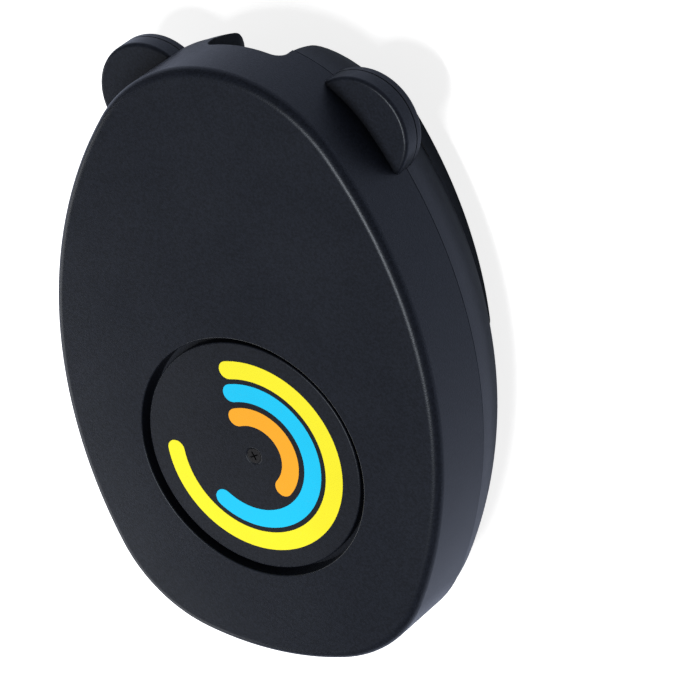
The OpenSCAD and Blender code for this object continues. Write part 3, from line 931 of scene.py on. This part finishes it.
head_hole = [(HEAD_HOLE + 0.35, 0), (HEAD_HOLE + 0.3, FEET), (HEAD_HOLE, FEET + 0.3)]
head_hole += [(HEAD_HOLE, FEET + HEAD_DEPTH)]
lower_cut += [turned(f"sink{i}", spot, head_hole, 64) for i, spot in enumerate(CASE_SCREWS)]
lower_cut += rods("pilot", PLATE_SCREWS, 1, 8.5, 20, 24)
lower_cut += rods("bore", BOARD_SCREWS, 0.8, 6, 20, 24)
seat = [(0, -SEAT_GAP), (FEET + SEAT_DEPTH, -SEAT_GAP)]
lower_cut += [band(f"seat_{k}{s}", k, s, seat) for k in FOOT_BANDS for s in (1, -1)]
lower_levels = [(floor_edge[0][0], FEET), (inner[-1][0], FLOOR)]
lower_case = build_shell("lower_case", lower_section, lower_levels, lower_added, lower_cut)
print("lower case:", len(lower_case.data.polygons), "faces,", round(volume(lower_case)), "mm3")

# %% [markdown]
# ### The same surface again
# Both halves come from one kind of plastic, so they get the same finish and the same shading.

# %% Finish the lower case
smooth(lower_case, 30)
finished(lower_case, "housing", "case_plastic", "bottom_shell")
print("finish:", lower_case.data.materials[0].name)

# %% [markdown]
# ## Rubber feet
# Two long strips and two short pads are pressed into shallow seats in the floor. Their lower edge is
# soft, because rubber leaves the mould with a small radius and wears rounder on the desk.

# %% Feet
SOFT = 0.3  # radius of the lower edge
soft_edge = [(SOFT - SOFT * math.cos(a), SOFT - SOFT * math.sin(a)) for a in quarter(5)]
soft_edge += [(FEET + SEAT_DEPTH - 0.05, 0.0)]
for kind, node_name in (("side", "side_feet"), ("front", "front_feet")):
    pair = [band(f"{kind}_foot_{s}", kind, s, soft_edge) for s in (1, -1)]
    feet = joined(f"{kind}_rubber_feet", pair)
    smooth(feet, 40)
    finished(feet, "housing", "rubber", node_name)
    print(feet.name, "volume", round(volume(feet)), "mm3")

# %% [markdown]
# ## The power socket
# A small socket looks out of the plug bay. Its shell is bent from thin steel, wide above and narrower
# below so that a plug goes in one way only. One tapered outline, a little smaller inside, gives both
# skins of the sheet, and the contact tongue stands in the middle of the opening.


# %% Socket
SOCKET_HALF, SOCKET_TOP, SOCKET_LOW = 3.8, 13.3, 10.7
SHEET = 0.3  # thickness of its steel
SOCKET_BACK, SOCKET_FRONT = BAY_BACK - 6.1, BAY_BACK - 0.5  # its ends along y


def socket_outline(thin, soft):
    """Half and mirrored: a flat top with rounded corners and a slanted lower edge, as (x, z)."""
    w, up, down = SOCKET_HALF - thin, SOCKET_TOP - thin, SOCKET_LOW + thin
    corner = [(w - soft + soft * math.sin(a), up - soft + soft * math.cos(a)) for a in quarter(6)]
    half = corner + [(w, 12.0), (w - 0.06, 11.75), (w - 1.0, down + 0.08), (w - 1.15, down)]
    return half + [(-x, z) for x, z in reversed(half)]


def chamfered(half, low, high, side, edge):
    """A rectangle with its corners cut by side and edge, as (x, z)."""
    right = [(half - side, low), (half, low + edge), (half, high - edge), (half - side, high)]
    return right + [(-x, z) for x, z in reversed(right)]


sleeve = prism_y("sleeve", socket_outline(0.0, 0.35), SOCKET_BACK, SOCKET_FRONT)
hollow = prism_y("hollow", socket_outline(SHEET, 0.2), BAY_BACK - 5.8, BAY_BACK + 1)
socket_shell = carved(sleeve, hollow)
socket_shell.name = "socket_shell"
smooth(socket_shell, 35)
finished(socket_shell, "housing", "steel", "usb_shell")

block = [(-3.2, 11.3), (3.2, 11.3), (3.45, 11.8), (3.45, 12.95), (-3.45, 12.95), (-3.45, 11.8)]
root = prism_y("root", block, BAY_BACK - 5.8, BAY_BACK - 4.6)
blade = prism_y("blade", chamfered(2.6, 12.1, 12.7, 0.05, 0.05), BAY_BACK - 4.7, BAY_BACK - 1.4)
tongue = joined("socket_tongue", [root, blade])
smooth(tongue, 35)
finished(tongue, "housing", "black_plastic", "usb_tongue")
print("socket:", len(socket_shell.data.polygons), "+", len(tongue.data.polygons), "faces")

# %% [markdown]
# ## The turning disc
# It is the working face: a flat plate just below the deck, with a broken edge and a countersunk hole
# for the screw that holds it on the spindle. A lathe profile says all of it in one line of points.

# %% Disc
HUB_R, HUB_LOW, DISC_LOW = 6.0, 25.0, 29.0  # the hub's radius and foot, and the plate's underside
BRIM = 0.35  # radius of the plate's upper edge
BORE_R = 0.95
brim = [
    (DISC_R - BRIM + BRIM * math.cos(a), DISC_TOP - BRIM + BRIM * math.sin(a)) for a in quarter(5)
]
disc_profile = [(HUB_R, HUB_LOW), (HUB_R, DISC_LOW), (DISC_R - 0.3, DISC_LOW), (DISC_R, DISC_LOW + 0.3)]
disc_profile += brim + [(8.0, DISC_TOP), (2.0, DISC_TOP), (1.82, DISC_TOP - 0.06)]
disc_profile += [(BORE_R, DISC_TOP - 1.0), (BORE_R, HUB_LOW + 0.5)]
face_disc = turned("face_disc", (0, SPINDLE_Y), disc_profile, 160)
smooth(face_disc, 35)
finished(face_disc, "turntable", "disc_plastic", "turntable_disc")
print("disc volume", round(volume(face_disc)), "mm3")

# %% [markdown]
# ### The screw in the middle
# A small countersunk screw holds the disc on its spindle. Its cross recess is what the eye looks for,
# so it is cut for real: two thin blades that narrow downwards are taken out of a turned head.


# %% Cross-head screws
def crossed(name, centre, profile, face, long, wide, deep, turn=0.0):
    """A turned screw with a cross recess at height face; long and wide are half sizes, deep is signed."""
    cutters = []
    for k in (0, 1):
        a = turn + k * math.pi / 2
        c, s = math.cos(a), math.sin(a)
        rings = []
        for share, z in ((0.4, face + deep), (1.0, face), (1.05, face - deep * 0.1)):
            tip, side = long * share, wide * share
            corners = ((tip, side), (-tip, side), (-tip, -side), (tip, -side))
            rings.append([(centre[0] + c * x - s * y, centre[1] + s * x + c * y, z) for x, y in corners])
        cutters.append(rings_object(f"blade{k}", rings))
    return carved(turned(name, centre, profile, 40), *cutters)


head = DISC_TOP - 0.1
countersunk = [(0.9, 24.6), (0.9, head - 1.0), (1.62, head - 0.12), (1.58, head - 0.03), (1.45, head)]
centre_screw = crossed("centre_screw", (0, SPINDLE_Y), countersunk, head, 1.0, 0.17, -0.7, 0.45)
smooth(centre_screw, 35)
finished(centre_screw, "turntable", "dark_steel", "disc_screw")
print("centre screw:", len(centre_screw.data.polygons), "faces")

# %% [markdown]
# ### The screws underneath
# Four equal pan-head screws join the shells. One is modelled, and a small Geometry Nodes tree sets it
# on the four points and turns each by its own angle, as a hand would leave them.


# %% Screws on points
def scatter_tree():
    tree = bpy.data.node_groups.new("Screws on points", "GeometryNodeTree")
    face = tree.interface
    face.new_socket("Geometry", in_out="INPUT", socket_type="NodeSocketGeometry")
    for title, kind in (("Screw", "Object"), ("Seed", "Int"), ("Finish", "Material")):
        face.new_socket(title, in_out="INPUT", socket_type="NodeSocket" + kind)
    face.new_socket("Geometry", in_out="OUTPUT", socket_type="NodeSocketGeometry")
    add, link_up = tree.nodes.new, tree.links.new
    source = add("NodeGroupInput")
    info = add("GeometryNodeObjectInfo")
    link_up(source.outputs["Screw"], info.inputs["Object"])
    angle = add("FunctionNodeRandomValue")
    angle.data_type = "FLOAT_VECTOR"
    angle.inputs["Min"].default_value = (0.0, 0.0, 0.0)
    angle.inputs["Max"].default_value = (0.0, 0.0, 3.14)
    link_up(source.outputs["Seed"], angle.inputs["Seed"])
    spread = add("GeometryNodeInstanceOnPoints")
    link_up(source.outputs["Geometry"], spread.inputs["Points"])
    link_up(info.outputs["Geometry"], spread.inputs["Instance"])
    link_up(angle.outputs["Value"], spread.inputs["Rotation"])
    real = add("GeometryNodeRealizeInstances")
    link_up(spread.outputs["Instances"], real.inputs["Geometry"])
    paint = add("GeometryNodeSetMaterial")
    link_up(real.outputs["Geometry"], paint.inputs["Geometry"])
    link_up(source.outputs["Finish"], paint.inputs["Material"])
    link_up(paint.outputs["Geometry"], add("NodeGroupOutput").inputs["Geometry"])
    return tree


crown = FEET + 3.2  # lowest point of the heads, up inside the case
pan = [(1.3, crown), (2.0, crown + 0.08), (2.38, crown + 0.3), (2.5, crown + 0.7), (2.5, crown + 1.8)]
pan += [(1.25, crown + 1.8), (1.25, 24.1), (0.9, 24.5)]
one_screw = crossed("one_screw", (0, 0), pan, crown, 1.45, 0.22, 0.7)
spots = mesh_object("spots", [(x, y, 0) for x, y in CASE_SCREWS], [])
dress(spots, scatter_tree(), {"Screw": one_screw, "Seed": 4, "Finish": FINISH["steel"]})
pan_screws = settled(spots, "pan_screws", [one_screw])
smooth(pan_screws, 35)
finished(pan_screws, "housing", "steel", "case_screws")
print("case screws:", len(pan_screws.data.polygons), "faces,", round(volume(pan_screws)), "mm3")

# %% [markdown]
# ## Printed rings
# The sensor of a mouse has to see something pass, so three bands of ink are printed on the disc. Each
# is a thin film with its own edge, which also keeps the colours crisp from close by.

# %% Ink
FILM = 0.08  # thickness of the ink
HALF_BAND = 1.95
INK = {  # radius, first and last angle, slot, solid
    "outer_band": (18.75, -174, 102, "yellow_ink", "print_outer"),
    "middle_band": (13.8, -127, 105, "blue_ink", "print_middle"),
    "inner_band": (8.6, -42, 110, "orange_ink", "print_inner"),
}
for name, (radius, start, end, slot, solid) in INK.items():
    film = rings_object(
        name,
        [
            [
                (x, y, DISC_TOP + z)
                for x, y in track((0, SPINDLE_Y), radius, HALF_BAND - less, start, end, 96)
            ]
            for z, less in ((0.0, 0.0), (FILM - 0.03, 0.0), (FILM, 0.03))
        ],
    )
    smooth(film, 50)
    finished(film, "turntable", slot, solid)
    print(name, "volume", round(volume(film), 1), "mm3")

# %% [markdown]
# ## Floor and room
# The object stands on a pale floor in a white room. The camera sees both as plain white. Polished
# surfaces see the same room dimmer and a little bluer, as a dark product is lit on a light table,
# and the diffuse level stays where a colour renders as it is written.

# %% Floor and world
GLOW, MIRRORED = 0.76, 0.10  # strength of the floor for the camera and in mirror images
ROOM_DIM, ROOM_WHITE = 0.12, 1.0
HALF_FLOOR = 1500
GREY, SLATE = (0.80, 0.80, 0.80), (0.55, 0.60, 0.78)
WHITE, ICE = (1.0, 1.0, 1.0), (0.82, 0.92, 1.0)
square = [(x * HALF_FLOOR, y * HALF_FLOOR, 0) for x, y in ((-1, -1), (1, -1), (1, 1), (-1, 1))]
floor_mesh = mesh_object("floor", square, [(0, 1, 2, 3)])
floor_paint, tree, shader = bare("Pale floor", GREY, 0.9)
shader.inputs["Specular IOR Level"].default_value = 0.0
rays = node(tree, "LightPath").outputs
mirrored = rays["Is Glossy Ray"]
tree.links.new(tint(tree, mirrored, GREY, SLATE), shader.inputs["Base Color"])
seen = maths(tree, "MAXIMUM", rays["Is Camera Ray"], rays["Is Transmission Ray"])
direct = maths(tree, "MULTIPLY", seen, GLOW)
level = maths(tree, "ADD", direct, maths(tree, "MULTIPLY", mirrored, MIRRORED))
tree.links.new(tint(tree, seen, ICE, WHITE), shader.inputs["Emission Color"])
tree.links.new(level, shader.inputs["Emission Strength"])
floor_mesh.data.materials.append(floor_paint)

world = bpy.data.worlds.new("White room")
bpy.context.scene.world = world
world.use_nodes = True
tree = world.node_tree
tree.nodes.clear()
rays = node(tree, "LightPath").outputs
seen = maths(tree, "MAXIMUM", rays["Is Camera Ray"], rays["Is Transmission Ray"])
level = node(tree, "MapRange", {"Value": seen, "To Min": ROOM_DIM, "To Max": ROOM_WHITE})
sky = node(tree, "Background", {"Color": (*WHITE, 1.0), "Strength": level.outputs["Result"]})
tree.links.new(sky.outputs[0], node(tree, "OutputWorld").inputs["Surface"])
print("floor and world ready")

# %% [markdown]
# ## Lamps
# One long softbox hangs over the object. Because it is narrow, its mirror image in the rounded rim is
# a thin bright line, and the walls below it stay dark. A small card of light low on the left gives
# the deck the soft glow along its edge.


# %% Two softboxes
def softbox(name, place, size, watts):
    """A lamp that looks at the middle of the case; place and size are in metres."""
    data = bpy.data.lights.new(name, "AREA")
    data.shape = "RECTANGLE"
    data.size, data.size_y = size
    data.energy = watts
    lamp = link(bpy.data.objects.new(name, data))
    lamp.location = place
    lamp.rotation_euler = (MIDDLE - Vector(place)).to_track_quat("-Z", "Y").to_euler()
    return lamp


MIDDLE = Vector((0.0, 0.0, 0.016))  # half way up the case
softbox("overhead", (0.05, -0.10, 0.9), (0.14, 0.45), 7.2)
softbox("side_card", (-0.115, -0.06, 0.065), (0.2, 0.05), 0.08).data.use_shadow = False

# %% [markdown]
# ## Camera
# A long lens from above and behind the right ear. Its pose is written as three rows, the picture's
# right, down and forward directions in the part's own axes, and the shift of the turntable's centre.

# %% Camera
RIGHT = Vector((0.843115, -0.097060, -0.528901))
DOWN = Vector((0.163580, -0.890667, 0.424211))
AHEAD = Vector((-0.512249, -0.444176, -0.735057))
SHIFT = Vector((-19.437, 21.289, 981.695))  # mm
SENSOR, FOCAL_PIXELS, PICTURE = 36.0, 4988.46, 700  # mm, and the focal length in pixels of the width
eye = -(RIGHT * SHIFT.x + DOWN * SHIFT.y + AHEAD * SHIFT.z) + Vector((0, SPINDLE_Y, DECK))
lens = bpy.data.cameras.new("camera")
lens.sensor_width = SENSOR
lens.lens = SENSOR * FOCAL_PIXELS / PICTURE
camera = link(bpy.data.objects.new("camera", lens))
turned_to = Matrix((RIGHT, -DOWN, -AHEAD)).transposed()
camera.matrix_world = Matrix.Translation(eye * MM) @ turned_to.to_4x4()
bpy.context.scene.camera = camera
bpy.context.scene.view_settings.view_transform = "Standard"
print("camera at", [round(c, 3) for c in camera.location])
